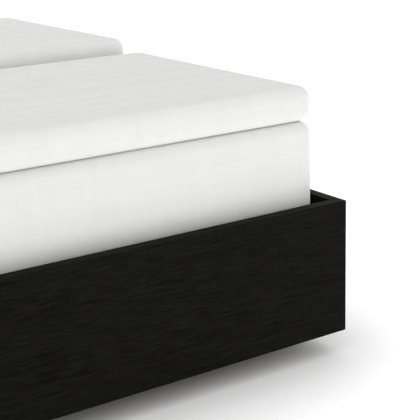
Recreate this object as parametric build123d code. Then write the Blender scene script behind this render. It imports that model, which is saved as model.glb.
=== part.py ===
from build123d import *

import os
from math import copysign

# Platform bed with storage drawers
#
# A floating carcass on a recessed plinth carries two slatted lying surfaces, each with a mattress and a
# topper. Both long sides are closed by two full-height drawers on telescopic slides.
#
# X runs along the bed, with the foot end at +X. Y runs across it, with the right-hand side of someone lying
# on their back at -Y. Z is up, and the origin is on the floor under the middle of the bed.

# Driving dimensions, in millimetres

# Mattresses and toppers
MATTRESS_LENGTH = 2000
MATTRESS_WIDTH = 800
MATTRESS_RIGHT_HEIGHT = 243
MATTRESS_LEFT_HEIGHT = 281
MATTRESS_EDGE_RADIUS = 30
MATTRESS_SPLIT = 10
MATTRESS_SINK = 50
TOPPER_HEIGHT = 87
TOPPER_EDGE_RADIUS = 33
TOPPER_LEFT_SLIP = 40
CORNER_EASE = 4

# Outer boards
FLOOR_GAP = 60
PANEL_HEIGHT = 334
FRONT_THICKNESS = 30
END_THICKNESS = 28
SIDE_CLEARANCE = 23
FRONT_REVEAL = 1.5
CENTRE_REVEAL = 3
PANEL_EDGE_EASE = 1
GRIP_LAND = 10
GRIP_SETBACK = 40

# Carcass
RAIL_THICKNESS = 25
RAIL_HEIGHT = 60
BEAM_WIDTH = 60
BASE_THICKNESS = 16
DIVIDER_THICKNESS = 18
SPINE_THICKNESS = 18
SPINE_GAP = 20

# Plinth
PLINTH_INSET = 140
PLINTH_THICKNESS = 22

# Slats
SLAT_THICKNESS = 18
SLAT_WIDTH = 70
SLAT_COUNT = 15
SLAT_END_INSET = 5
SLAT_SPLIT = 8
SLAT_EDGE_EASE = 3
TAPE_WIDTH = 25
TAPE_THICKNESS = 1.5
TAPE_INSET = 210

# Steel fittings
STEEL_THICKNESS = 2.5
BRACKET_LEG = 40
BRACKET_MARGIN = 6
BRACKET_BEND = 3
HANGER_DEPTH = 40
HANGER_DROP = 18
HANGER_FLANGE = 28
BOLT_DIAMETER = 6
BOLT_CLEARANCE = 0.25
BOLT_LENGTH = 20
BOLT_HEAD_WIDTH = 10
BOLT_HEAD_HEIGHT = 4

# Drawers
DRAWER_REAR_GAP = 119
DRAWER_LIFT = 14
DRAWER_HEADROOM = 26
DRAWER_BOARD = 15
DRAWER_EDGE_EASE = 2
BOTTOM_THICKNESS = 8
BOTTOM_LIFT = 10
GROOVE_DEPTH = 6
GROOVE_CLEARANCE = 0.3

# Telescopic slides
SLIDE_WIDTH = 12.7
SLIDE_HEIGHT = 45
SLIDE_SHEET = 1.2
SLIDE_CLEARANCE = 0.4
SLIDE_BEND = 1
SLIDE_LIP_GAP = 3.7
SLIDE_FRONT_INSET = 3
SLIDE_REAR_INSET = 45.5
SLIDE_LIFT = 45

# Places worked out from the driving dimensions

INNER_HALF_LENGTH = MATTRESS_LENGTH / 2 + SIDE_CLEARANCE
HALF_LENGTH = INNER_HALF_LENGTH + END_THICKNESS
FRONT_BACK_FACE = MATTRESS_WIDTH + MATTRESS_SPLIT / 2 + SIDE_CLEARANCE
HALF_WIDTH = FRONT_BACK_FACE + FRONT_THICKNESS
CARCASS_HALF_WIDTH = FRONT_BACK_FACE - FRONT_REVEAL

RIM = FLOOR_GAP + PANEL_HEIGHT
SLAT_TOP = RIM - MATTRESS_SINK
RAIL_TOP = SLAT_TOP - SLAT_THICKNESS
RAIL_BOTTOM = RAIL_TOP - RAIL_HEIGHT
RAIL_MIDDLE = (RAIL_TOP + RAIL_BOTTOM) / 2
RAIL_INNER_FACE = CARCASS_HALF_WIDTH - RAIL_THICKNESS
BASE_TOP = FLOOR_GAP + BASE_THICKNESS

SLAT_PITCH = 2 * INNER_HALF_LENGTH / SLAT_COUNT
SLAT_INNER_END = SLAT_SPLIT / 2
SLAT_OUTER_END = CARCASS_HALF_WIDTH - SLAT_END_INSET

DRAWER_BOTTOM = BASE_TOP + DRAWER_LIFT
DRAWER_TOP = RAIL_BOTTOM - DRAWER_HEADROOM
BAY_INNER = DIVIDER_THICKNESS / 2
BAY_OUTER = INNER_HALF_LENGTH
BOX_INNER = BAY_INNER + SLIDE_WIDTH
BOX_OUTER = BAY_OUTER - SLIDE_WIDTH
BOX_BACK = SPINE_THICKNESS / 2 + DRAWER_REAR_GAP
SLIDE_FRONT = CARCASS_HALF_WIDTH - SLIDE_FRONT_INSET
SLIDE_LENGTH = SLIDE_FRONT - BOX_BACK - SLIDE_REAR_INSET
SLIDE_MIDDLE = DRAWER_BOTTOM + SLIDE_LIFT

BRACKET_HEIGHT = RAIL_HEIGHT - 2 * BRACKET_MARGIN
BRACKET_BOLT_OFFSET = (BRACKET_LEG + STEEL_THICKNESS) / 2
HANGER_HALF_WIDTH = BEAM_WIDTH / 2 + STEEL_THICKNESS
HANGER_BOTTOM = RAIL_BOTTOM - STEEL_THICKNESS
HANGER_TOP = RAIL_TOP - HANGER_DROP
HANGER_BOLT_Y = HANGER_HALF_WIDTH + HANGER_FLANGE / 2
HANGER_BOLT_Z = (HANGER_TOP + HANGER_BOTTOM) / 2
BOLT_HOLE_DEPTH = BOLT_LENGTH - STEEL_THICKNESS + 2 * BOLT_CLEARANCE

SIDES = {"right": -1, "left": 1}
ENDS = {"foot": 1, "head": -1}


def both_ways(reach):
    """A span that reaches as far below zero as above it."""
    return (-reach, reach)


def board(x_span, y_span, z_span):
    """A rectangular board between the given limits."""
    spans = [sorted(span) for span in (x_span, y_span, z_span)]
    middle = [(low + high) / 2 for low, high in spans]
    return Pos(*middle) * Box(*[high - low for low, high in spans])


def to_quadrant(piece, end, side):
    """A piece made at the foot end on the left-hand side, mirrored to the end and side asked for."""
    if end < 0:
        piece = mirror(piece, about=Plane.YZ)
    if side < 0:
        piece = mirror(piece, about=Plane.XZ)
    return piece


def bolt_hole(place, direction, depth):
    """A round cutter for a bolt, from a point on a face into the piece."""
    radius = BOLT_DIAMETER / 2 + BOLT_CLEARANCE
    return extrude(Plane(place, z_dir=direction) * Circle(radius), depth)


def bolt(seat, direction):
    """A hex-head bolt: its head seats on a steel fitting, and its shank runs along direction."""
    seat_plane = Plane(seat, z_dir=direction)
    shank = extrude(seat_plane * Circle(BOLT_DIAMETER / 2), BOLT_LENGTH)
    hexagon = RegularPolygon(BOLT_HEAD_WIDTH / 2, 6, major_radius=False)
    return shank + extrude(seat_plane * hexagon, -BOLT_HEAD_HEIGHT)


def rail_bolt_face(end, side):
    """The point on a rail's inner face where its bracket's bolt goes in."""
    return (end * (INNER_HALF_LENGTH - BRACKET_BOLT_OFFSET), side * RAIL_INNER_FACE, RAIL_MIDDLE)


def bracket_bolt_face(end, side):
    """The point on an end board's inner face where a bracket's bolt goes in."""
    return (end * INNER_HALF_LENGTH, side * (RAIL_INNER_FACE - BRACKET_BOLT_OFFSET), RAIL_MIDDLE)


def hanger_bolt_face(end, side):
    """The point on an end board's inner face where a hanger's bolt goes in."""
    return (end * INNER_HALF_LENGTH, side * HANGER_BOLT_Y, HANGER_BOLT_Z)


def end_board(end):
    """A head or foot board: closes the carcass and carries the outer drawer slides."""
    panel = board(
        (end * INNER_HALF_LENGTH, end * HALF_LENGTH),
        both_ways(CARCASS_HALF_WIDTH),
        (FLOOR_GAP, RIM),
    )
    panel = chamfer(panel.edges(), PANEL_EDGE_EASE)
    for side in SIDES.values():
        for face in (bracket_bolt_face(end, side), hanger_bolt_face(end, side)):
            panel -= bolt_hole(face, (end, 0, 0), BOLT_HOLE_DEPTH)
    return panel


def side_rail(side):
    """The rail behind the drawer fronts that carries the outer slat ends."""
    rail = board(
        both_ways(INNER_HALF_LENGTH),
        (side * RAIL_INNER_FACE, side * CARCASS_HALF_WIDTH),
        (RAIL_BOTTOM, RAIL_TOP),
    )
    for end in ENDS.values():
        rail -= bolt_hole(rail_bolt_face(end, side), (0, side, 0), BOLT_HOLE_DEPTH)
    return rail


def centre_beam():
    """The beam between the two lying surfaces, held in a hanger at each end."""
    return board(
        both_ways(INNER_HALF_LENGTH - STEEL_THICKNESS),
        both_ways(BEAM_WIDTH / 2),
        (RAIL_BOTTOM, RAIL_TOP),
    )


def spine_panel():
    """The upright panel under the beam that parts the left and right drawers."""
    return board(
        both_ways(INNER_HALF_LENGTH - HANGER_DEPTH - SPINE_GAP),
        both_ways(SPINE_THICKNESS / 2),
        (BASE_TOP, RAIL_BOTTOM),
    )


def drawer_divider(side):
    """The upright panel between the head and foot drawers of one side: it props the rail at mid-length."""
    return board(
        both_ways(DIVIDER_THICKNESS / 2),
        (side * SPINE_THICKNESS / 2, side * CARCASS_HALF_WIDTH),
        (BASE_TOP, RAIL_BOTTOM),
    )


def base_panel(end):
    """Half of the carcass floor, set back behind the drawer fronts to leave room for fingers."""
    return board(
        (0, end * INNER_HALF_LENGTH),
        both_ways(CARCASS_HALF_WIDTH - GRIP_SETBACK),
        (FLOOR_GAP, BASE_TOP),
    )


def plinth_boards():
    """The recessed plinth: two long boards, two short boards between them and one along the middle."""
    outer_x = HALF_LENGTH - PLINTH_INSET
    outer_y = HALF_WIDTH - PLINTH_INSET
    inner_x = outer_x - PLINTH_THICKNESS
    inner_y = outer_y - PLINTH_THICKNESS
    height = (0, FLOOR_GAP)
    boards = {"plinth_centre": board(both_ways(inner_x), both_ways(PLINTH_THICKNESS / 2), height)}
    for name, side in SIDES.items():
        boards[f"plinth_{name}"] = board(both_ways(outer_x), (side * inner_y, side * outer_y), height)
    for name, end in ENDS.items():
        boards[f"plinth_{name}"] = board((end * inner_x, end * outer_x), both_ways(inner_y), height)
    return boards


def slats(side):
    """One lying surface: slats with eased upper edges, from the side rail to the centre beam."""
    section = Rectangle(SLAT_WIDTH, SLAT_THICKNESS)
    section = chamfer(section.vertices().group_by(Axis.Y)[-1], SLAT_EDGE_EASE)
    slat = extrude(Plane.XZ * section, (SLAT_OUTER_END - SLAT_INNER_END) / 2, both=True)
    middle = Pos(0, side * (SLAT_OUTER_END + SLAT_INNER_END) / 2, SLAT_TOP - SLAT_THICKNESS / 2)
    places = GridLocations(SLAT_PITCH, 1, SLAT_COUNT, 1)
    return Compound(children=[middle * place * slat for place in places])


def slat_tapes():
    """Two woven tapes under each lying surface that hold its slats at their spacing."""
    half_length = ((SLAT_COUNT - 1) * SLAT_PITCH + SLAT_WIDTH) / 2
    thickness = (RAIL_TOP - TAPE_THICKNESS, RAIL_TOP)
    tapes = []
    for side in SIDES.values():
        for middle in (SLAT_INNER_END + TAPE_INSET, SLAT_OUTER_END - TAPE_INSET):
            across = (side * middle - TAPE_WIDTH / 2, side * middle + TAPE_WIDTH / 2)
            tapes.append(board(both_ways(half_length), across, thickness))
    return Compound(children=tapes)


def padded_block(side, bottom, height, edge_radius):
    """A block as large as a mattress in plan, with rounded upright corners and a rounded upper edge."""
    block = board(
        both_ways(MATTRESS_LENGTH / 2),
        (side * MATTRESS_SPLIT / 2, side * (MATTRESS_SPLIT / 2 + MATTRESS_WIDTH)),
        (bottom, bottom + height),
    )
    block = fillet(block.edges().filter_by(Axis.Z), edge_radius + CORNER_EASE)
    return fillet(block.edges().group_by(Axis.Z)[-1], edge_radius)


def mattress(side, height):
    """A mattress lying on the slats, its lower edge hidden below the rim of the boards."""
    return padded_block(side, SLAT_TOP, height, MATTRESS_EDGE_RADIUS)


def topper(side, mattress_height, slip):
    """A topper lying loose on its mattress, slipped towards the head, with a round edge above and below."""
    block = padded_block(side, SLAT_TOP + mattress_height, TOPPER_HEIGHT, TOPPER_EDGE_RADIUS)
    return Pos(-slip, 0, 0) * fillet(block.edges().group_by(Axis.Z)[0], TOPPER_EDGE_RADIUS)


def corner_brackets():
    """Four bent steel angles that bolt the side rails to the end boards."""
    corner_x, corner_y = INNER_HALF_LENGTH, RAIL_INNER_FACE
    inner_x, inner_y = corner_x - STEEL_THICKNESS, corner_y - STEEL_THICKNESS
    tip_x, tip_y = corner_x - BRACKET_LEG, corner_y - BRACKET_LEG
    outline = Polyline(
        (corner_x, corner_y),
        (tip_x, corner_y),
        (tip_x, inner_y),
        (inner_x, inner_y),
        (inner_x, tip_y),
        (corner_x, tip_y),
        close=True,
    )
    section = make_face(outline)
    bend = section.vertices().sort_by_distance((inner_x, inner_y))[0]
    section = chamfer(bend, BRACKET_BEND)
    angle = extrude(Pos(0, 0, RAIL_MIDDLE - BRACKET_HEIGHT / 2) * section, BRACKET_HEIGHT)
    angle -= bolt_hole(bracket_bolt_face(1, 1), (-1, 0, 0), STEEL_THICKNESS)
    angle -= bolt_hole(rail_bolt_face(1, 1), (0, -1, 0), STEEL_THICKNESS)
    corners = [(end, side) for end in ENDS.values() for side in SIDES.values()]
    return Compound(children=[to_quadrant(angle, end, side) for end, side in corners])


def beam_hangers():
    """A steel saddle on each end board: a U that carries the beam, with two bolted flanges."""
    front = INNER_HALF_LENGTH - HANGER_DEPTH
    flange_face = INNER_HALF_LENGTH - STEEL_THICKNESS
    height = (HANGER_BOTTOM, HANGER_TOP)
    saddle = board((front, INNER_HALF_LENGTH), both_ways(HANGER_HALF_WIDTH), height)
    saddle += board(
        (flange_face, INNER_HALF_LENGTH), both_ways(HANGER_HALF_WIDTH + HANGER_FLANGE), height
    )
    saddle -= board((front, flange_face), both_ways(BEAM_WIDTH / 2), (RAIL_BOTTOM, HANGER_TOP))
    for side in SIDES.values():
        saddle -= bolt_hole(hanger_bolt_face(1, side), (-1, 0, 0), STEEL_THICKNESS)
    return Compound(children=[to_quadrant(saddle, end, 1) for end in ENDS.values()])


def frame_bolts():
    """The bolts through the brackets and hangers, each with its head on the steel."""
    bolts = []
    for end in ENDS.values():
        for side in SIDES.values():
            for x, y, z in (bracket_bolt_face(end, side), hanger_bolt_face(end, side)):
                bolts.append(bolt((x - end * STEEL_THICKNESS, y, z), (end, 0, 0)))
            x, y, z = rail_bolt_face(end, side)
            bolts.append(bolt((x, y - side * STEEL_THICKNESS, z), (0, side, 0)))
    return Compound(children=bolts)


def channel(web_face, tip, height):
    """A rolled steel slide member: its web stands at web_face, and its two flanges reach out to tip."""
    web_inner = web_face + copysign(SLIDE_SHEET, tip - web_face)
    half, inner_half = height / 2, height / 2 - SLIDE_SHEET
    outline = Polyline(
        (tip, half),
        (web_face, half),
        (web_face, -half),
        (tip, -half),
        (tip, -inner_half),
        (web_inner, -inner_half),
        (web_inner, inner_half),
        (tip, inner_half),
        close=True,
    )
    section = make_face(outline)
    bends = [section.vertices().sort_by_distance((web_face, z))[0] for z in both_ways(half)]
    section = chamfer(bends, SLIDE_BEND)
    run = Plane(origin=(0, SLIDE_FRONT, SLIDE_MIDDLE), x_dir=(1, 0, 0), z_dir=(0, -1, 0))
    return extrude(run * section, SLIDE_LENGTH)


def slide_member(wall, toward_drawer, member):
    """One member of the slide on a bay wall: fixed to the wall, running between, or on the drawer."""
    step = SLIDE_SHEET + SLIDE_CLEARANCE
    web, tip, height = {
        "cabinet": (0, SLIDE_WIDTH - SLIDE_LIP_GAP, SLIDE_HEIGHT),
        "middle": (step, SLIDE_WIDTH - step, SLIDE_HEIGHT - 2 * step),
        "drawer": (SLIDE_WIDTH, 2 * step, SLIDE_HEIGHT - 4 * step),
    }[member]
    return channel(wall + toward_drawer * web, wall + toward_drawer * tip, height)


def slide_pair(member, end, side):
    """The same member of the two slides of one drawer, on the divider and on the end board."""
    pair = [slide_member(BAY_INNER, 1, member), slide_member(BAY_OUTER, -1, member)]
    return [to_quadrant(piece, end, side) for piece in pair]


def drawer_front():
    """The full-height front, bevelled behind its lower edge so that fingers can pull it."""
    bevel = FRONT_THICKNESS - GRIP_LAND
    outline = Polyline(
        (HALF_WIDTH, RIM),
        (HALF_WIDTH, FLOOR_GAP),
        (HALF_WIDTH - GRIP_LAND, FLOOR_GAP),
        (FRONT_BACK_FACE, FLOOR_GAP + bevel),
        (FRONT_BACK_FACE, RIM),
        close=True,
    )
    start = Plane(origin=(CENTRE_REVEAL / 2, 0, 0), x_dir=(0, 1, 0), z_dir=(1, 0, 0))
    panel = extrude(start * make_face(outline), HALF_LENGTH - CENTRE_REVEAL / 2)
    return chamfer(panel.edges(), PANEL_EDGE_EASE)


def bottom_sheet(reach, thickness):
    """A sheet that fills the inside of the drawer box and reaches into its four boards."""
    low = DRAWER_BOTTOM + BOTTOM_LIFT
    return board(
        (BOX_INNER + DRAWER_BOARD - reach, BOX_OUTER - DRAWER_BOARD + reach),
        (BOX_BACK + DRAWER_BOARD - reach, FRONT_BACK_FACE - DRAWER_BOARD + reach),
        (low, low + thickness),
    )


def drawer_boards():
    """The boards of the drawer at the foot end of the left-hand side, by name."""
    height = (DRAWER_BOTTOM, DRAWER_TOP)
    depth = (BOX_BACK, FRONT_BACK_FACE)
    between = (BOX_INNER + DRAWER_BOARD, BOX_OUTER - DRAWER_BOARD)
    boards = {
        "inner_side": board((BOX_INNER, BOX_INNER + DRAWER_BOARD), depth, height),
        "outer_side": board((BOX_OUTER - DRAWER_BOARD, BOX_OUTER), depth, height),
        "box_front": board(between, (FRONT_BACK_FACE - DRAWER_BOARD, FRONT_BACK_FACE), height),
        "box_back": board(between, (BOX_BACK, BOX_BACK + DRAWER_BOARD), height),
    }
    groove = bottom_sheet(GROOVE_DEPTH, BOTTOM_THICKNESS + GROOVE_CLEARANCE)
    for name, piece in boards.items():
        along = Axis.Y if name.endswith("side") else Axis.X
        top_edges = piece.edges().filter_by(along).group_by(Axis.Z)[-1]
        boards[name] = chamfer(top_edges, DRAWER_EDGE_EASE) - groove
    boards["bottom"] = bottom_sheet(GROOVE_DEPTH - GROOVE_CLEARANCE, BOTTOM_THICKNESS)
    boards["front"] = drawer_front()
    return boards


def carcass_nodes():
    """The fixed pieces, by node name."""
    nodes = {f"{name}_end_board": end_board(end) for name, end in ENDS.items()}
    nodes |= {f"side_rail_{name}": side_rail(side) for name, side in SIDES.items()}
    nodes |= {"centre_beam": centre_beam(), "spine_panel": spine_panel()}
    nodes |= {f"drawer_divider_{name}": drawer_divider(side) for name, side in SIDES.items()}
    nodes |= {f"base_panel_{name}": base_panel(end) for name, end in ENDS.items()}
    nodes |= plinth_boards()
    nodes |= {f"slats_{name}": slats(side) for name, side in SIDES.items()}
    nodes |= {"slat_tapes": slat_tapes(), "corner_brackets": corner_brackets()}
    nodes |= {"beam_hangers": beam_hangers(), "frame_bolts": frame_bolts()}
    return nodes


def soft_nodes():
    """The mattresses and toppers, by node name."""
    heights = {"right": MATTRESS_RIGHT_HEIGHT, "left": MATTRESS_LEFT_HEIGHT}
    nodes = {f"mattress_{name}": mattress(SIDES[name], high) for name, high in heights.items()}
    slips = {"right": 0, "left": TOPPER_LEFT_SLIP}
    nodes |= {f"topper_{name}": topper(SIDES[name], high, slips[name]) for name, high in heights.items()}
    return nodes


def drawer_nodes():
    """The four drawers and their slides, by node name."""
    nodes = {}
    cabinet_members = []
    boards = drawer_boards()
    for side_name, side in SIDES.items():
        for end_name, end in ENDS.items():
            place = f"{side_name}_{end_name}"
            for piece_name, piece in boards.items():
                nodes[f"drawer_{place}_{piece_name}"] = to_quadrant(piece, end, side)
            nodes[f"drawer_{place}_runners"] = Compound(children=slide_pair("drawer", end, side))
            nodes[f"slide_{place}_middle"] = Compound(children=slide_pair("middle", end, side))
            cabinet_members += slide_pair("cabinet", end, side)
    nodes["cabinet_runners"] = Compound(children=cabinet_members)
    return nodes


os.makedirs("parts", exist_ok=True)
for node, shape in (carcass_nodes() | soft_nodes() | drawer_nodes()).items():
    export_step(shape, f"parts/{node}.step")
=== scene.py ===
import math

import bmesh
import bpy
from mathutils import Matrix, Vector


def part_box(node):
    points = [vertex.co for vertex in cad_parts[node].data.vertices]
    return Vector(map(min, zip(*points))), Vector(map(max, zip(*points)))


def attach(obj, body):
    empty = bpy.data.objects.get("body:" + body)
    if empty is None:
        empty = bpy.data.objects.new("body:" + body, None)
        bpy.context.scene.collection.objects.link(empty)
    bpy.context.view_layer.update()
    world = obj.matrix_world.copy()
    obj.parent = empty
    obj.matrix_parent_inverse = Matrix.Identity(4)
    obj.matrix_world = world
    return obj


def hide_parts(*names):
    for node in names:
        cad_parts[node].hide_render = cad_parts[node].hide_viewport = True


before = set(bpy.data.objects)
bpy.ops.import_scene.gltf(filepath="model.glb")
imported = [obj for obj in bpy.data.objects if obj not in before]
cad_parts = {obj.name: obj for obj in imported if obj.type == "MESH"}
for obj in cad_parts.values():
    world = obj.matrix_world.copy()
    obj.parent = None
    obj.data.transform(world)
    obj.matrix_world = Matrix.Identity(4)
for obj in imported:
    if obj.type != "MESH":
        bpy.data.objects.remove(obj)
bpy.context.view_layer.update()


# Plinth and carcass: chipboard boards with a near-black foil. The plinth boards stand on edge, set
# back so that the bed seems to float, and carry the base panels. The spine and the two dividers stand
# on these, dowelled and glued, and part the four drawer bays.

def add(tree, kind, feeds=None, **settings):
    """Adds a node with these settings. feeds gives an input its value, or the socket that feeds it."""
    made = tree.nodes.new(kind)
    for name, value in settings.items():
        setattr(made, name, value)
    for name, value in (feeds or {}).items():
        if isinstance(value, bpy.types.NodeSocket):
            tree.links.new(value, made.inputs[name])
        else:
            made.inputs[name].default_value = value
    return made


def paint(red, green, blue):
    """A colour as on a paint card, 0 to 255, by the sRGB curve in the linear values that a shader takes."""
    card = [channel / 255 for channel in (red, green, blue)]
    return tuple(c / 12.92 if c <= 0.04045 else ((c + 0.055) / 1.055) ** 2.4 for c in card) + (1.0,)


def shades(tree, mask, dark, pale, ends):
    """Colours over a mask, dark up to the first of its two ends and pale from the second."""
    made = add(tree, "ShaderNodeValToRGB", {"Fac": mask})
    for element, place, colour in zip(made.color_ramp.elements, ends, (dark, pale)):
        element.position = place
        element.color = colour
    return made.outputs["Color"]


WHOLE = (0.0, 1.0)


def spread(tree, mask, ends, onto=WHOLE):
    """The mask from the first to the second of its ends laid onto another range, and held there."""
    made = add(tree, "ShaderNodeMapRange", {
        "Value": mask, "From Min": ends[0], "From Max": ends[1], "To Min": onto[0], "To Max": onto[1]})
    return made.outputs["Result"]


def work(tree, operation, first, second=0.0):
    """One sum on two masks or numbers."""
    return add(tree, "ShaderNodeMath", {0: first, 1: second}, operation=operation).outputs[0]


def summed(tree, *parts):
    """Masks added up, each part a mask and its share."""
    total, *others = [work(tree, "MULTIPLY", mask, share) for mask, share in parts]
    for part in others:
        total = work(tree, "ADD", total, part)
    return total


def moved(tree, operation, place, by):
    """One sum on a place and three numbers, or on a place and the one number that SCALE takes."""
    taker = "Scale" if operation == "SCALE" else 1
    return add(tree, "ShaderNodeVectorMath", {0: place, taker: by}, operation=operation).outputs["Vector"]


def stretched(tree, place, along=1.0, across=1.0, upright=1.0):
    """The place with each of its three directions multiplied."""
    return moved(tree, "MULTIPLY", place, (along, across, upright))


def cloudy(tree, place, scale, detail, roughness=0.5):
    """A soft random mask, scale times to the metre."""
    made = add(tree, "ShaderNodeTexNoise", {
        "Vector": place, "Scale": scale, "Detail": detail, "Roughness": roughness})
    return made.outputs["Fac"]


def start_finish(name, **fixed):
    """A material whose shader holds these fixed values: its tree, its shader and the piece's own places."""
    finish = bpy.data.materials.new(name)
    finish.use_nodes = True
    tree = finish.node_tree
    shader = tree.nodes["Principled BSDF"]
    for socket, value in fixed.items():
        shader.inputs[socket.replace("_", " ")].default_value = value
    place = add(tree, "ShaderNodeTexCoord").outputs["Object"]
    return finish, tree, shader, place


def start_group(name, inputs, outputs):
    """An empty node group with a Vector input, these number inputs and these mask outputs."""
    group = bpy.data.node_groups.new(name, "ShaderNodeTree")
    group.interface.new_socket("Vector", in_out="INPUT", socket_type="NodeSocketVector")
    for socket, value in inputs.items():
        made = group.interface.new_socket(socket, in_out="INPUT", socket_type="NodeSocketFloat")
        made.default_value = value
    for socket in outputs:
        group.interface.new_socket(socket, in_out="OUTPUT", socket_type="NodeSocketFloat")
    return group, group.nodes.new("NodeGroupInput").outputs, group.nodes.new("NodeGroupOutput").inputs


def raise_surface(tree, shader, height, depth):
    """Lets a height mask stand out from the surface by depth, in metres."""
    bump = add(tree, "ShaderNodeBump", {"Height": height, "Strength": 1.0, "Distance": depth})
    tree.links.new(bump.outputs["Normal"], shader.inputs["Normal"])


def dress(finish, *nodes):
    """Gives a finish to solids of the frame."""
    for name in nodes:
        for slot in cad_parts[name].material_slots:
            slot.material = finish


PATCH_ENDS = (0.3, 0.7)
handling, taken, given = start_group("handling_marks", {"Patch Size": 0.25}, ["Marks"])
patches_to_metre = work(handling, "DIVIDE", 1.0, taken["Patch Size"])
patches = cloudy(handling, taken["Vector"], patches_to_metre, detail=4.0, roughness=0.6)
handling.links.new(spread(handling, patches, PATCH_ENDS), given["Marks"])


def rubbed(tree, place, patch):
    """Where hands and cloths have rubbed the surface, in patches of this size in metres."""
    made = add(tree, "ShaderNodeGroup", {"Vector": place, "Patch Size": patch}, node_tree=handling)
    return made.outputs["Marks"]


FOIL_DARK, FOIL_PALE, FOIL_TONES = paint(17, 16, 15), paint(30, 29, 27), (0.25, 0.8)
FOIL_SPECK, FOIL_PATCH, FOIL_DEPTH = 900.0, 0.18, 0.00006
FOIL_SPECK_SHARE, FOIL_MARK_SHARE, FOIL_ROUGHNESS = 0.6, 0.4, (0.5, 0.66)
foil, tree, shader, place = start_finish("black_foil", Specular_IOR_Level=0.25)
speck = cloudy(tree, place, FOIL_SPECK, detail=2.0, roughness=0.7)
marks = rubbed(tree, place, FOIL_PATCH)
tone = summed(tree, (speck, FOIL_SPECK_SHARE), (marks, FOIL_MARK_SHARE))
tree.links.new(shades(tree, tone, FOIL_DARK, FOIL_PALE, FOIL_TONES), shader.inputs["Base Color"])
tree.links.new(spread(tree, marks, WHOLE, FOIL_ROUGHNESS), shader.inputs["Roughness"])
raise_surface(tree, shader, speck, FOIL_DEPTH)
dress(foil, "plinth_right", "plinth_left", "plinth_foot", "plinth_head", "plinth_centre",
      "base_panel_foot", "base_panel_head", "spine_panel", "drawer_divider_right", "drawer_divider_left")


# Side rails and centre beam: planed pine, laid lengthwise on the dividers and the spine. They carry the
# slat ends and are bolted to the end boards, the rails in steel angles and the beam in steel hangers.

SWAY_STRETCH, RING_STRETCH, PORE_STRETCH, FLECK_STRETCH = 0.35, 0.06, 0.035, 0.16
SWAYS_TO_METRE, SWAY_MIDDLE = 3.2, (0.5, 0.5, 0.5)
FIGURE_ENDS, FIBRE_ENDS, PORE_ENDS, FLECK_ENDS = (0.28, 0.72), (0.3, 0.7), (0.6, 0.72), (0.68, 0.8)
grain, taken, given = start_group(
    "wood_grain", {"Ring Width": 0.006, "Fibre Width": 0.0012, "Fibre Run": 0.014, "Waver": 0.012},
    ["Figure", "Fibre", "Pores", "Flecks"])
sway = add(grain, "ShaderNodeTexNoise", {
    "Vector": stretched(grain, taken["Vector"], along=SWAY_STRETCH), "Scale": SWAYS_TO_METRE, "Detail": 1.0})
to_and_fro = moved(grain, "SUBTRACT", sway.outputs["Color"], SWAY_MIDDLE)
bent = moved(grain, "ADD", taken["Vector"], moved(grain, "SCALE", to_and_fro, taken["Waver"]))
drawn_out = add(grain, "ShaderNodeCombineXYZ", {"X": taken["Fibre Run"], "Y": 1.0, "Z": 1.0})
along_fibre = moved(grain, "MULTIPLY", bent, drawn_out.outputs["Vector"])
rings_to_metre = work(grain, "DIVIDE", 1.0, taken["Ring Width"])
fibres_to_metre = work(grain, "DIVIDE", 1.0, taken["Fibre Width"])
figure = cloudy(grain, stretched(grain, bent, along=RING_STRETCH), rings_to_metre, detail=3.0, roughness=0.6)
fibre = cloudy(grain, along_fibre, fibres_to_metre, detail=2.0, roughness=0.55)
pore = cloudy(grain, stretched(grain, bent, along=PORE_STRETCH), fibres_to_metre, detail=0.0)
fleck = cloudy(grain, stretched(grain, bent, along=FLECK_STRETCH), fibres_to_metre, detail=1.0)
for mask, ends, output in ((figure, FIGURE_ENDS, "Figure"), (fibre, FIBRE_ENDS, "Fibre"),
                           (pore, PORE_ENDS, "Pores"), (fleck, FLECK_ENDS, "Flecks")):
    grain.links.new(spread(grain, mask, ends), given[output])

WOOD_TONES, WOOD_PATCH = (0.1, 0.9), 0.3
WOOD_MARK_SHARE, WOOD_FIBRE_SHARE, FIBRE_RISE = 0.5, 0.5, 0.5


def turned(tree, place, along, start):
    """The place with the wood's length turned from X to the given direction, begun at its own spot."""
    quarter = {"X": (0.0, 0.0, 0.0), "Y": (0.0, 0.0, -math.pi / 2)}[along]
    made = add(tree, "ShaderNodeMapping", {"Vector": place, "Rotation": quarter, "Location": (start,) * 3})
    return made.outputs["Vector"]


def wooden(name, along, start, rings, fibres, run, waver, dark, pale, roughness,
           figure=0.55, pores=0.5, flecks=0.0, depth=0.00008, **fixed):
    """A wood finish: rings and fibres run from dark to pale, pores are sunk and dark, and flecks are pale."""
    finish, tree, shader, place = start_finish(name, **fixed)
    wood = add(tree, "ShaderNodeGroup", {
        "Vector": turned(tree, place, along, start), "Ring Width": rings, "Fibre Width": fibres,
        "Fibre Run": run, "Waver": waver}, node_tree=grain).outputs
    sunk = work(tree, "MULTIPLY", wood["Pores"], pores)
    tone = summed(tree, (wood["Figure"], figure), (wood["Fibre"], 1.0 - figure))
    tone = work(tree, "SUBTRACT", tone, sunk)
    tone = work(tree, "ADD", tone, work(tree, "MULTIPLY", wood["Flecks"], flecks))
    tree.links.new(shades(tree, tone, dark, pale, WOOD_TONES), shader.inputs["Base Color"])
    marks = rubbed(tree, place, WOOD_PATCH)
    worn = summed(tree, (marks, WOOD_MARK_SHARE), (wood["Fibre"], WOOD_FIBRE_SHARE))
    tree.links.new(spread(tree, worn, WHOLE, roughness), shader.inputs["Roughness"])
    height = work(tree, "SUBTRACT", work(tree, "MULTIPLY", wood["Fibre"], FIBRE_RISE), sunk)
    raise_surface(tree, shader, height, depth)
    return finish


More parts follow.
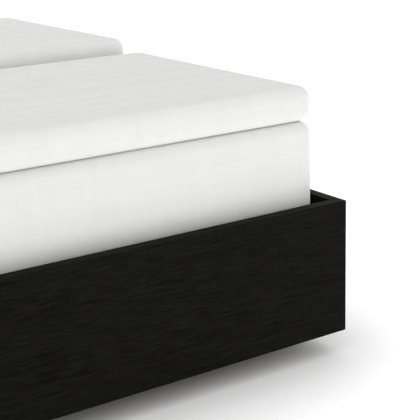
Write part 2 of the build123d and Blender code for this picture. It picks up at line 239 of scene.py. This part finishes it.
pine = wooden("planed_pine", along="X", start=0.4, rings=0.007, fibres=0.0011, run=0.014, waver=0.02,
              dark=paint(178, 132, 82), pale=paint(226, 192, 144), roughness=(0.5, 0.65))
dress(pine, "side_rail_right", "side_rail_left", "centre_beam")


# End boards: 28 mm boards with a black-stained, open-grained veneer that runs across the bed. They
# close the carcass at the foot and the head and are bolted to the rails from inside.

VENEER = dict(rings=0.009, fibres=0.003, run=0.06, waver=0.03, dark=paint(10, 10, 9), pale=paint(26, 26, 23),
              roughness=(0.52, 0.68), figure=0.3, pores=0.25, flecks=0.8, depth=0.0002,
              Specular_IOR_Level=0.03)
veneer_across = wooden("veneer_across", along="Y", start=1.7, **VENEER)
dress(veneer_across, "foot_end_board", "head_end_board")


# Steel fittings: angles that hold the rails to the end boards, hangers that carry the beam, and the
# bolts through them. They are pressed from zinc-plated sheet.

ZINC_DARK, ZINC_PALE, ZINC_TONES = paint(158, 163, 168), paint(204, 207, 208), (0.3, 0.7)
ZINC_SPANGLE, ZINC_DRAW, ZINC_DRAW_STRETCH, ZINC_PATCH = 260.0, 2400.0, 0.02, 0.06
ZINC_WEAR, ZINC_ROUGHNESS, ZINC_DEPTH = (0.1, 0.9), (0.26, 0.46), 0.00003
SPANGLE_TONE_SHARE, DRAWN_TONE_SHARE, DRAWN_WEAR_SHARE, MARK_WEAR_SHARE = 0.7, 0.3, 0.4, 0.6
zinc, tree, shader, place = start_finish("zinc_plate", Metallic=1.0)
spangle = cloudy(tree, place, ZINC_SPANGLE, detail=3.0, roughness=0.65)
drawn = cloudy(tree, stretched(tree, place, across=ZINC_DRAW_STRETCH), ZINC_DRAW, detail=1.0)
tone = summed(tree, (spangle, SPANGLE_TONE_SHARE), (drawn, DRAWN_TONE_SHARE))
worn = summed(tree, (drawn, DRAWN_WEAR_SHARE), (rubbed(tree, place, ZINC_PATCH), MARK_WEAR_SHARE))
tree.links.new(shades(tree, tone, ZINC_DARK, ZINC_PALE, ZINC_TONES), shader.inputs["Base Color"])
tree.links.new(spread(tree, worn, ZINC_WEAR, ZINC_ROUGHNESS), shader.inputs["Roughness"])
raise_surface(tree, shader, drawn, ZINC_DEPTH)
dress(zinc, "corner_brackets", "beam_hangers", "frame_bolts")


# Slats: fifteen planed birch slats for each lying surface, resting on a rail and on the beam. Two
# woven tapes are stapled along them and keep them apart.

birch = wooden("planed_birch", along="Y", start=2.3, rings=0.009, fibres=0.0009, run=0.014, waver=0.012,
               dark=paint(206, 174, 130), pale=paint(236, 214, 178), roughness=(0.45, 0.6))
dress(birch, "slats_right", "slats_left")

YARN_TURN, YARN_ENDS, FACING_POWER = 2 * math.pi, (-1.0, 1.0), 2.0
SLUB_RUN, SLUB_STRETCH, SLUB_ENDS = 0.2, 0.05, (0.3, 0.7)
LONG_SLUB_SHARE, CROSS_SLUB_SHARE = 0.7, 0.3
weave, taken, given = start_group("plain_weave", {"Yarn": 0.0016, "Slub": 0.02}, ["Yarns", "Slubs"])
to_turns = work(weave, "DIVIDE", YARN_TURN, taken["Yarn"])
sides = add(weave, "ShaderNodeSeparateXYZ", {"Vector": taken["Vector"]}).outputs
normal = add(weave, "ShaderNodeTexCoord").outputs["Normal"]
facing = add(weave, "ShaderNodeSeparateXYZ", {"Vector": normal}).outputs
waves = [work(weave, "SINE", work(weave, "MULTIPLY", sides[side], to_turns)) for side in "XYZ"]
shown = [work(weave, "POWER", work(weave, "ABSOLUTE", facing[side]), FACING_POWER) for side in "XYZ"]
crossed = summed(weave, *[(work(weave, "MULTIPLY", waves[warp], waves[weft]), shown[face])
                          for warp, weft, face in ((1, 2, 0), (0, 2, 1), (0, 1, 2))])
slubs_to_metre = work(weave, "DIVIDE", SLUB_RUN, taken["Slub"])
long_slub = cloudy(weave, stretched(weave, taken["Vector"], along=SLUB_STRETCH), slubs_to_metre,
                   detail=3.0, roughness=0.65)
cross_slub = cloudy(weave, stretched(weave, taken["Vector"], across=SLUB_STRETCH, upright=SLUB_STRETCH),
                    slubs_to_metre, detail=2.0, roughness=0.6)
slub = summed(weave, (long_slub, LONG_SLUB_SHARE), (cross_slub, CROSS_SLUB_SHARE))
weave.links.new(spread(weave, crossed, YARN_ENDS), given["Yarns"])
weave.links.new(spread(weave, slub, SLUB_ENDS), given["Slubs"])

CLOTH_TONES, CLOTH_ROUGHNESS = (0.1, 0.9), (0.94, 0.82)
SLUB_SHARE, YARN_SHARE, SLUB_RISE = 0.7, 0.3, 0.5


def woven(name, yarn, slub, dark, pale, depth, **fixed):
    """A woven finish: yarns that cross, with thicker and thinner runs in them."""
    finish, tree, shader, place = start_finish(name, **fixed)
    cloth = add(tree, "ShaderNodeGroup", {"Vector": place, "Yarn": yarn, "Slub": slub}, node_tree=weave)
    cloth = cloth.outputs
    tone = summed(tree, (cloth["Slubs"], SLUB_SHARE), (cloth["Yarns"], YARN_SHARE))
    tree.links.new(shades(tree, tone, dark, pale, CLOTH_TONES), shader.inputs["Base Color"])
    tree.links.new(spread(tree, cloth["Yarns"], WHOLE, CLOTH_ROUGHNESS), shader.inputs["Roughness"])
    height = work(tree, "ADD", cloth["Yarns"], work(tree, "MULTIPLY", cloth["Slubs"], SLUB_RISE))
    raise_surface(tree, shader, height, depth)
    return finish


webbing = woven("slat_webbing", yarn=0.0022, slub=0.006, dark=paint(196, 194, 186), pale=paint(224, 222, 214),
                depth=0.0004)
dress(webbing, "slat_tapes")


# Slat screws: zinc-plated, pan-headed and cross-slotted. They hold the first, middle and last slat of
# each lying surface down on the rail. The other slats are held by the tapes alone.

HEAD_SIDES, HEAD_ARMS = 16, 4
# Shares of a head's radius and of its rise, from the rim to the slot.
HEAD_RINGS = ((1.0, -0.1), (1.0, 0.3), (0.93, 0.62), (0.74, 0.9), (0.56, 1.0), (0.24, 1.0))
SLOT_REACH, SLOT_DEPTH = 0.6, 0.75


def screw_heads(name, body, radius, rise, seats):
    """Cross-slotted heads in one mesh, each on its seat: a point and the direction that the head faces."""
    shape = bmesh.new()
    for point, facing in seats:
        place = Matrix.Translation(point) @ Vector(facing).to_track_quat("Z", "Y").to_matrix().to_4x4()
        rings = []
        for share, lift in HEAD_RINGS:
            ring = []
            for i in range(HEAD_SIDES):
                turn = 2 * math.pi * i / HEAD_SIDES
                in_slot = share < SLOT_REACH and i % (HEAD_SIDES // HEAD_ARMS) == 0
                height = rise * (lift - SLOT_DEPTH if in_slot else lift)
                ring.append(shape.verts.new(place @ Vector((
                    radius * share * math.cos(turn), radius * share * math.sin(turn), height))))
            rings.append(ring)
        shape.faces.new(rings[0][::-1])
        centre = shape.verts.new(place @ Vector((0.0, 0.0, rise * (1.0 - SLOT_DEPTH))))
        for i in range(HEAD_SIDES):
            j = (i + 1) % HEAD_SIDES
            for below, above in zip(rings, rings[1:]):
                shape.faces.new((below[i], below[j], above[j], above[i]))
            shape.faces.new((rings[-1][i], rings[-1][j], centre))
    mesh = bpy.data.meshes.new(name)
    shape.to_mesh(mesh)
    shape.free()
    mesh.materials.append(zinc)
    heads = bpy.data.objects.new(name, mesh)
    bpy.context.scene.collection.objects.link(heads)
    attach(heads, body)


SLAT_WIDTH, SLAT_LAST, SCREWED_SLATS = 0.070, 14, (0, 7, 14)
SLAT_SCREW_RADIUS, SLAT_SCREW_RISE, SLAT_SCREW_INSET = 0.004, 0.002, 0.008
for side in ("right", "left"):
    low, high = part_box("slats_" + side)
    y = low.y + SLAT_SCREW_INSET if side == "right" else high.y - SLAT_SCREW_INSET
    pitch = (high.x - low.x - SLAT_WIDTH) / SLAT_LAST
    screw_heads("slat_screws_" + side, "frame", SLAT_SCREW_RADIUS, SLAT_SCREW_RISE,
                [(Vector((low.x + SLAT_WIDTH / 2 + i * pitch, y, high.z)), (0, 0, 1)) for i in SCREWED_SLATS])


# Drawer slides: three rolled steel members nested in each other, one screwed to the bay, one to the
# drawer and one between them. There are two for each drawer.

PLACES = ["right_foot", "right_head", "left_foot", "left_head"]
dress(zinc, "cabinet_runners", *["slide_" + spot + "_middle" for spot in PLACES],
      *["drawer_" + spot + "_runners" for spot in PLACES])

RUNNER_SHEET, RUNNER_SCREW_RADIUS, RUNNER_SCREW_RISE = 0.0012, 0.004, 0.0018
RUNNER_SCREWS = (0.035, 0.163, 0.291, 0.419, 0.547)
for spot in PLACES:
    low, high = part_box("drawer_" + spot + "_runners")
    seats = []
    for side in ("inner", "outer"):
        board_low, board_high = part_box("drawer_" + spot + "_" + side + "_side")
        way = 1 if (side == "outer") == (low.x > 0) else -1
        x = (board_high.x if way > 0 else board_low.x) + way * RUNNER_SHEET
        for back in RUNNER_SCREWS:
            y = high.y - back if high.y > 0 else low.y + back
            seats.append((Vector((x, y, (low.z + high.z) / 2)), (way, 0, 0)))
    screw_heads("runner_screws_" + spot, "drawer_" + spot, RUNNER_SCREW_RADIUS, RUNNER_SCREW_RISE, seats)


# Drawer boxes: 15 mm boards with a pale birch foil whose grain follows each board, round a thin
# hardboard bottom that sits in a groove.

BIRCH_FOIL = dict(rings=0.011, fibres=0.0013, run=0.014, waver=0.02, dark=paint(203, 184, 152),
                  pale=paint(224, 209, 182), roughness=(0.4, 0.52), pores=0.2, depth=0.00004)
box_sides = wooden("birch_foil_sides", along="Y", start=4.1, **BIRCH_FOIL)
box_ends = wooden("birch_foil_ends", along="X", start=5.2, **BIRCH_FOIL)
for spot in PLACES:
    drawer = "drawer_" + spot
    dress(box_sides, drawer + "_inner_side", drawer + "_outer_side")
    dress(box_ends, drawer + "_box_front", drawer + "_box_back")

HARDBOARD_DARK, HARDBOARD_PALE, HARDBOARD_TONES = paint(190, 176, 150), paint(214, 202, 178), (0.3, 0.7)
HARDBOARD_FIBRES, HARDBOARD_PATCH, HARDBOARD_DEPTH = 420.0, 0.2, 0.00005
HARDBOARD_ROUGHNESS = (0.42, 0.58)
hardboard, tree, shader, place = start_finish("hardboard", Specular_IOR_Level=0.35)
fibres = cloudy(tree, place, HARDBOARD_FIBRES, detail=5.0, roughness=0.7)
marks = rubbed(tree, place, HARDBOARD_PATCH)
tone = shades(tree, fibres, HARDBOARD_DARK, HARDBOARD_PALE, HARDBOARD_TONES)
tree.links.new(tone, shader.inputs["Base Color"])
tree.links.new(spread(tree, marks, WHOLE, HARDBOARD_ROUGHNESS), shader.inputs["Roughness"])
raise_surface(tree, shader, fibres, HARDBOARD_DEPTH)
dress(hardboard, *["drawer_" + spot + "_bottom" for spot in PLACES])


# Drawer screws: countersunk ones join the box's corners above the slides, and pan-headed ones hold the
# front from inside the box. All are zinc-plated steel with a cross slot.

CORNER_SCREW_RADIUS, CORNER_SCREW_RISE, CORNER_SCREW_HEIGHTS = 0.0045, 0.0008, (0.088, 0.128)
FRONT_SCREW_RADIUS, FRONT_SCREW_RISE = 0.0055, 0.0028
FRONT_SCREW_INSET, FRONT_SCREW_COLUMNS, FRONT_SCREW_HEIGHTS = 0.07, 3, (0.052, 0.118)
for spot in PLACES:
    drawer = "drawer_" + spot
    low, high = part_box(drawer + "_box_front")
    back_low, back_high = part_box(drawer + "_box_back")
    seats = []
    for side in ("inner", "outer"):
        board_low, board_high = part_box(drawer + "_" + side + "_side")
        way = 1 if (side == "outer") == (low.x > 0) else -1
        x = board_high.x if way > 0 else board_low.x
        for y in ((low.y + high.y) / 2, (back_low.y + back_high.y) / 2):
            seats += [(Vector((x, y, low.z + lift)), (way, 0, 0)) for lift in CORNER_SCREW_HEIGHTS]
    screw_heads("corner_screws_" + spot, drawer, CORNER_SCREW_RADIUS, CORNER_SCREW_RISE, seats)

    way = -1 if low.y > 0 else 1
    y = high.y if way > 0 else low.y
    column = (high.x - low.x - 2 * FRONT_SCREW_INSET) / (FRONT_SCREW_COLUMNS - 1)
    seats = [(Vector((low.x + FRONT_SCREW_INSET + i * column, y, low.z + lift)), (0, way, 0))
             for i in range(FRONT_SCREW_COLUMNS) for lift in FRONT_SCREW_HEIGHTS]
    screw_heads("front_screws_" + spot, drawer, FRONT_SCREW_RADIUS, FRONT_SCREW_RISE, seats)


# Drawer fronts: 30 mm boards with the end boards' black-stained veneer, cut in one length so that the
# grain runs on from one front to the next. They are screwed on from inside the drawer box.

veneer_along = wooden("veneer_along", along="X", start=3.3, **VENEER)
dress(veneer_along, *["drawer_" + spot + "_front" for spot in PLACES])


# Mattresses: spring cores in a firm, close white cover, one for each lying surface. They lie loose on
# the slats, and the left one is a little thicker.

def edge_arc(radius, height, start, steps):
    """Insets and heights round a cover's edge, from start to start plus a quarter turn, about a centre."""
    turns = [math.radians(start + 90 * i / steps) for i in range(steps + 1)]
    return [(radius * (1 - math.cos(turn)), height + radius * math.sin(turn)) for turn in turns]


def outline(low, high, corner, inset, corner_steps, cells):
    """Points round a cover from above, drawn in by inset: four corner arcs with straight runs between."""
    radius = corner - inset
    left, right, near, far = low.x + corner, high.x - corner, low.y + corner, high.y - corner
    points = []
    for start, x, y, (dx, dy), count in ((180, left, near, (right - left, 0), cells[0]),
                                         (270, right, near, (0, far - near), cells[1]),
                                         (0, right, far, (left - right, 0), cells[0]),
                                         (90, left, far, (0, near - far), cells[1])):
        for i in range(corner_steps + 1):
            turn = math.radians(start + 90 * i / corner_steps)
            points.append((x + radius * math.cos(turn), y + radius * math.sin(turn)))
        outward = math.radians(start + 90)
        for i in range(1, count):
            points.append((x + dx * i / count + radius * math.cos(outward),
                           y + dy * i / count + radius * math.sin(outward)))
    return points


CORNER_STEPS, WELD_GAP = 6, 1e-5


def stuffed_cover(name, low, high, corner, profile, cell):
    """A closed cover of quads: rings that follow the profile of insets and heights, and two flat faces."""
    inner_x, inner_y = high.x - low.x - 2 * corner, high.y - low.y - 2 * corner
    cells = (round(inner_x / cell), round(inner_y / cell))
    shape = bmesh.new()
    rings = []
    for inset, height in profile:
        rings.append([shape.verts.new((x, y, height))
                      for x, y in outline(low, high, corner, inset, CORNER_STEPS, cells)])
    for below, above in zip(rings, rings[1:]):
        for i in range(len(below)):
            j = (i + 1) % len(below)
            shape.faces.new((below[i], below[j], above[j], above[i]))
    for height, upward in ((profile[0][1], False), (profile[-1][1], True)):
        sheet = [[shape.verts.new((low.x + corner + inner_x * i / cells[0],
                                   low.y + corner + inner_y * j / cells[1], height))
                  for j in range(cells[1] + 1)] for i in range(cells[0] + 1)]
        for i in range(cells[0]):
            for j in range(cells[1]):
                around = (sheet[i][j], sheet[i + 1][j], sheet[i + 1][j + 1], sheet[i][j + 1])
                shape.faces.new(around if upward else around[::-1])
    bmesh.ops.remove_doubles(shape, verts=shape.verts, dist=WELD_GAP)
    mesh = bpy.data.meshes.new(name)
    shape.to_mesh(mesh)
    shape.free()
    mesh.shade_smooth()
    cover = bpy.data.objects.new(name, mesh)
    bpy.context.scene.collection.objects.link(cover)
    return cover


SETTLE_FRAMES, SETTLE_PRESSURE, HELD_DEPTH = 20, 4.0, 0.006


def swell(cover, base, lid, cap):
    """Blows a cover up as cloth, held where it rests and where the lid lies, and outward by less than cap."""
    rest = [v.co.copy() for v in cover.data.vertices]
    outward = [v.normal.copy() for v in cover.data.vertices]
    held = cover.vertex_groups.new(name="rests")
    held.add([i for i, p in enumerate(rest) if p.z < base + HELD_DEPTH or p.z > lid - HELD_DEPTH], 1.0, "ADD")
    cloth = cover.modifiers.new("cover", "CLOTH")
    fabric = cloth.settings
    fabric.quality = 5
    fabric.mass = 0.4
    fabric.tension_stiffness = fabric.compression_stiffness = 25.0
    fabric.shear_stiffness = 10.0
    fabric.bending_stiffness = 2.0
    fabric.use_pressure = True
    fabric.uniform_pressure_force = SETTLE_PRESSURE
    fabric.effector_weights.gravity = 0.0
    fabric.vertex_group_mass = held.name
    cloth.collision_settings.use_collision = False
    cloth.point_cache.frame_start = 1
    cloth.point_cache.frame_end = SETTLE_FRAMES
    for moment in range(1, SETTLE_FRAMES + 1):
        bpy.context.scene.frame_set(moment)
    settled = cover.evaluated_get(bpy.context.evaluated_depsgraph_get()).data
    swollen = [v.co.copy() for v in settled.vertices]
    for vertex, was, now, way in zip(cover.data.vertices, rest, swollen, outward):
        push = max(0.0, (now - was).dot(way))
        vertex.co = was + way * (cap * push / (cap + push))
    cover.modifiers.remove(cloth)
    bpy.context.scene.frame_set(1)


ticking = woven("white_ticking", yarn=0.0016, slub=0.008, dark=paint(221, 221, 220),
                pale=paint(229, 229, 228), depth=0.00025, Specular_IOR_Level=0.15, Sheen_Weight=0.04)
MATTRESS_CORNER, MATTRESS_TOP_EDGE, MATTRESS_FOOT_EDGE = 0.034, 0.031, 0.020
MATTRESS_FOOT_STEPS, MATTRESS_TOP_STEPS, WALL_STEPS = 4, 6, 7
MATTRESS_SWELL, MATTRESS_CELL = 0.003, 0.028
for side in ("right", "left"):
    low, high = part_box("mattress_" + side)
    base, crest = low.z, high.z
    foot = edge_arc(MATTRESS_FOOT_EDGE, base + MATTRESS_FOOT_EDGE, -90, MATTRESS_FOOT_STEPS)
    shoulder = edge_arc(MATTRESS_TOP_EDGE, crest - MATTRESS_TOP_EDGE, 0, MATTRESS_TOP_STEPS)
    wall_low, wall_high = foot[-1][1], shoulder[0][1]
    wall = [(0.0, wall_low + (wall_high - wall_low) * i / WALL_STEPS) for i in range(1, WALL_STEPS)]
    profile = [(MATTRESS_CORNER, base)] + foot + wall + shoulder + [(MATTRESS_CORNER, crest)]
    mattress = stuffed_cover("mattress_cover_" + side, low, high, MATTRESS_CORNER, profile, MATTRESS_CELL)
    swell(mattress, base, crest, MATTRESS_SWELL)
    mattress.data.materials.append(ticking)
    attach(mattress, "frame")
    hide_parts("mattress_" + side)


# Toppers: soft foam pads in a finer white cover, one on each mattress. They lie loose, and their
# full round edges meet the mattresses' round shoulders in a deep groove.

knit = woven("white_knit", yarn=0.0013, slub=0.01, dark=paint(223, 223, 222), pale=paint(231, 231, 230),
             depth=0.00022, Specular_IOR_Level=0.15, Sheen_Weight=0.04)
TOPPER_CORNER, TOPPER_TOP_EDGE, TOPPER_FOOT_EDGE, TOPPER_EDGE_STEPS = 0.036, 0.032, 0.034, 8
TOPPER_CROWN, TOPPER_SWELL, TOPPER_SETTLED, TOPPER_CELL = 0.002, 0.003, 0.0014, 0.028
for side in ("right", "left"):
    low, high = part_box("topper_" + side)
    base, crest, lid = low.z, high.z - TOPPER_CROWN, high.z + TOPPER_SWELL
    foot = edge_arc(TOPPER_FOOT_EDGE, base + TOPPER_FOOT_EDGE, -90, TOPPER_EDGE_STEPS)
    foot[1:3] = [(foot[1][0], base), (foot[2][0], base + TOPPER_SETTLED)]
    shoulder = edge_arc(TOPPER_TOP_EDGE, crest - TOPPER_TOP_EDGE, 0, TOPPER_EDGE_STEPS)
    wall = [(0.0, (foot[-1][1] + shoulder[0][1]) / 2)]
    profile = [(TOPPER_CORNER, base)] + foot + wall + shoulder + [(TOPPER_CORNER, crest)]
    topper = stuffed_cover("topper_cover_" + side, low, high, TOPPER_CORNER, profile, TOPPER_CELL)
    swell(topper, base, lid, TOPPER_SWELL)
    topper.data.materials.append(knit)
    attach(topper, "frame")
    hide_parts("topper_" + side)


# Studio: a white floor that runs out past the view, in white light from all round. Two lamps light the
# floor alone, a wide one overhead and a narrower one high on the left. Panels on the floor bounce light
# up, the near ring to the white covers alone and the far ring, past the open drawers, to the whole bed.

FLOOR_HALF, FLOOR_SCUFFS = 40.0, 2.0
FLOOR_DARK, FLOOR_PALE = (0.85, 0.85, 0.85, 1.0), (0.87, 0.87, 0.87, 1.0)
floor_mesh = bpy.data.meshes.new("studio_floor")
floor_corners = [(-FLOOR_HALF, -FLOOR_HALF, 0.0), (FLOOR_HALF, -FLOOR_HALF, 0.0),
                 (FLOOR_HALF, FLOOR_HALF, 0.0), (-FLOOR_HALF, FLOOR_HALF, 0.0)]
floor_mesh.from_pydata(floor_corners, [], [(0, 1, 2, 3)])
floor = bpy.data.objects.new("studio_floor", floor_mesh)
bpy.context.scene.collection.objects.link(floor)
floor_paint, tree, shader, place = start_finish("studio_white", Specular_IOR_Level=0.0, Roughness=1.0)
scuffs = cloudy(tree, place, FLOOR_SCUFFS, detail=2.0)
tree.links.new(shades(tree, scuffs, FLOOR_DARK, FLOOR_PALE, WHOLE), shader.inputs["Base Color"])
floor_mesh.materials.append(floor_paint)

SKY_STRENGTH = 1.0
world = bpy.data.worlds.new("studio_sky")
world.use_nodes = True
sky = world.node_tree.nodes["Background"]
sky.inputs["Color"].default_value = (1.0, 1.0, 1.0, 1.0)
sky.inputs["Strength"].default_value = SKY_STRENGTH
bpy.context.scene.world = world

# Each lamp's name and strength, and in degrees its width and its lean to the bed's left and head.
FLOOR_LAMPS = (("overhead", 0.75, 150, 0, 0), ("behind", 1.0, 30, 17, 20))
studio_ground = bpy.data.collections.new("studio_ground")
studio_ground.objects.link(floor)
for name, strength, width, to_left, to_head in FLOOR_LAMPS:
    lamp = bpy.data.lights.new("floor_lamp_" + name, "SUN")
    lamp.energy = strength
    lamp.angle = math.radians(width)
    lamp_light = bpy.data.objects.new(lamp.name, lamp)
    lamp_light.rotation_euler = (-math.radians(to_left), -math.radians(to_head), 0.0)
    lamp_light.light_linking.receiver_collection = studio_ground
    bpy.context.scene.collection.objects.link(lamp_light)

# Half the length and half the width of each ring's inner and outer edge, from the bed's middle.
PANEL_EDGES = ((1.12, 0.93), (1.9, 1.55), (3.9, 3.55))
PANEL_WATTS = {"near": 1.1, "far": 0.6}
PANEL_HEIGHT = 0.01
white_covers = bpy.data.collections.new("white_covers")
for name in ("mattress_cover_right", "mattress_cover_left", "topper_cover_right", "topper_cover_left"):
    white_covers.objects.link(bpy.data.objects[name])
for (ring, watts), (near_x, near_y), (far_x, far_y) in zip(PANEL_WATTS.items(), PANEL_EDGES, PANEL_EDGES[1:]):
    across, along = (near_y + far_y) / 2, (near_x + far_x) / 2
    for side, x, y, wide, deep in (("right", 0.0, -across, 2 * far_x, far_y - near_y),
                                   ("left", 0.0, across, 2 * far_x, far_y - near_y),
                                   ("foot", along, 0.0, far_x - near_x, 2 * near_y),
                                   ("head", -along, 0.0, far_x - near_x, 2 * near_y)):
        panel = bpy.data.lights.new("bounce_panel_" + ring + "_" + side, "AREA")
        panel.shape = "RECTANGLE"
        panel.size = wide
        panel.size_y = deep
        panel.energy = watts * wide * deep
        panel_light = bpy.data.objects.new(panel.name, panel)
        panel_light.location = (x, y, PANEL_HEIGHT)
        panel_light.rotation_euler = (math.pi, 0.0, 0.0)
        panel_light.visible_camera = False
        panel_light.visible_glossy = False
        if ring == "near":
            panel_light.light_linking.receiver_collection = white_covers
        bpy.context.scene.collection.objects.link(panel_light)

bpy.context.scene.view_settings.view_transform = "Standard"


# Camera: stands on the bed's right, a little over a metre up, and looks across the foot corner and a
# little down, through a long lens. It leans by less than two degrees.

CAMERA_PLACE = Vector((-0.664, -2.852, 1.142))
CAMERA_YAW, CAMERA_PITCH, CAMERA_ROLL = math.radians(33.53), math.radians(16.28), math.radians(-1.71)
CAMERA_LENS, CAMERA_SENSOR = 96.857, 36.0
ahead = Vector((math.cos(CAMERA_PITCH) * math.sin(CAMERA_YAW), math.cos(CAMERA_PITCH) * math.cos(CAMERA_YAW),
                -math.sin(CAMERA_PITCH)))
level = Vector((math.cos(CAMERA_YAW), -math.sin(CAMERA_YAW), 0.0))
upward = level.cross(ahead)
right = level * math.cos(CAMERA_ROLL) + upward * math.sin(CAMERA_ROLL)
top = upward * math.cos(CAMERA_ROLL) - level * math.sin(CAMERA_ROLL)
lens = bpy.data.cameras.new("camera")
lens.lens = CAMERA_LENS
lens.sensor_width = CAMERA_SENSOR
camera = bpy.data.objects.new("camera", lens)
camera.matrix_world = Matrix.Translation(CAMERA_PLACE) @ Matrix((right, top, -ahead)).transposed().to_4x4()
bpy.context.scene.collection.objects.link(camera)
bpy.context.scene.camera = camera
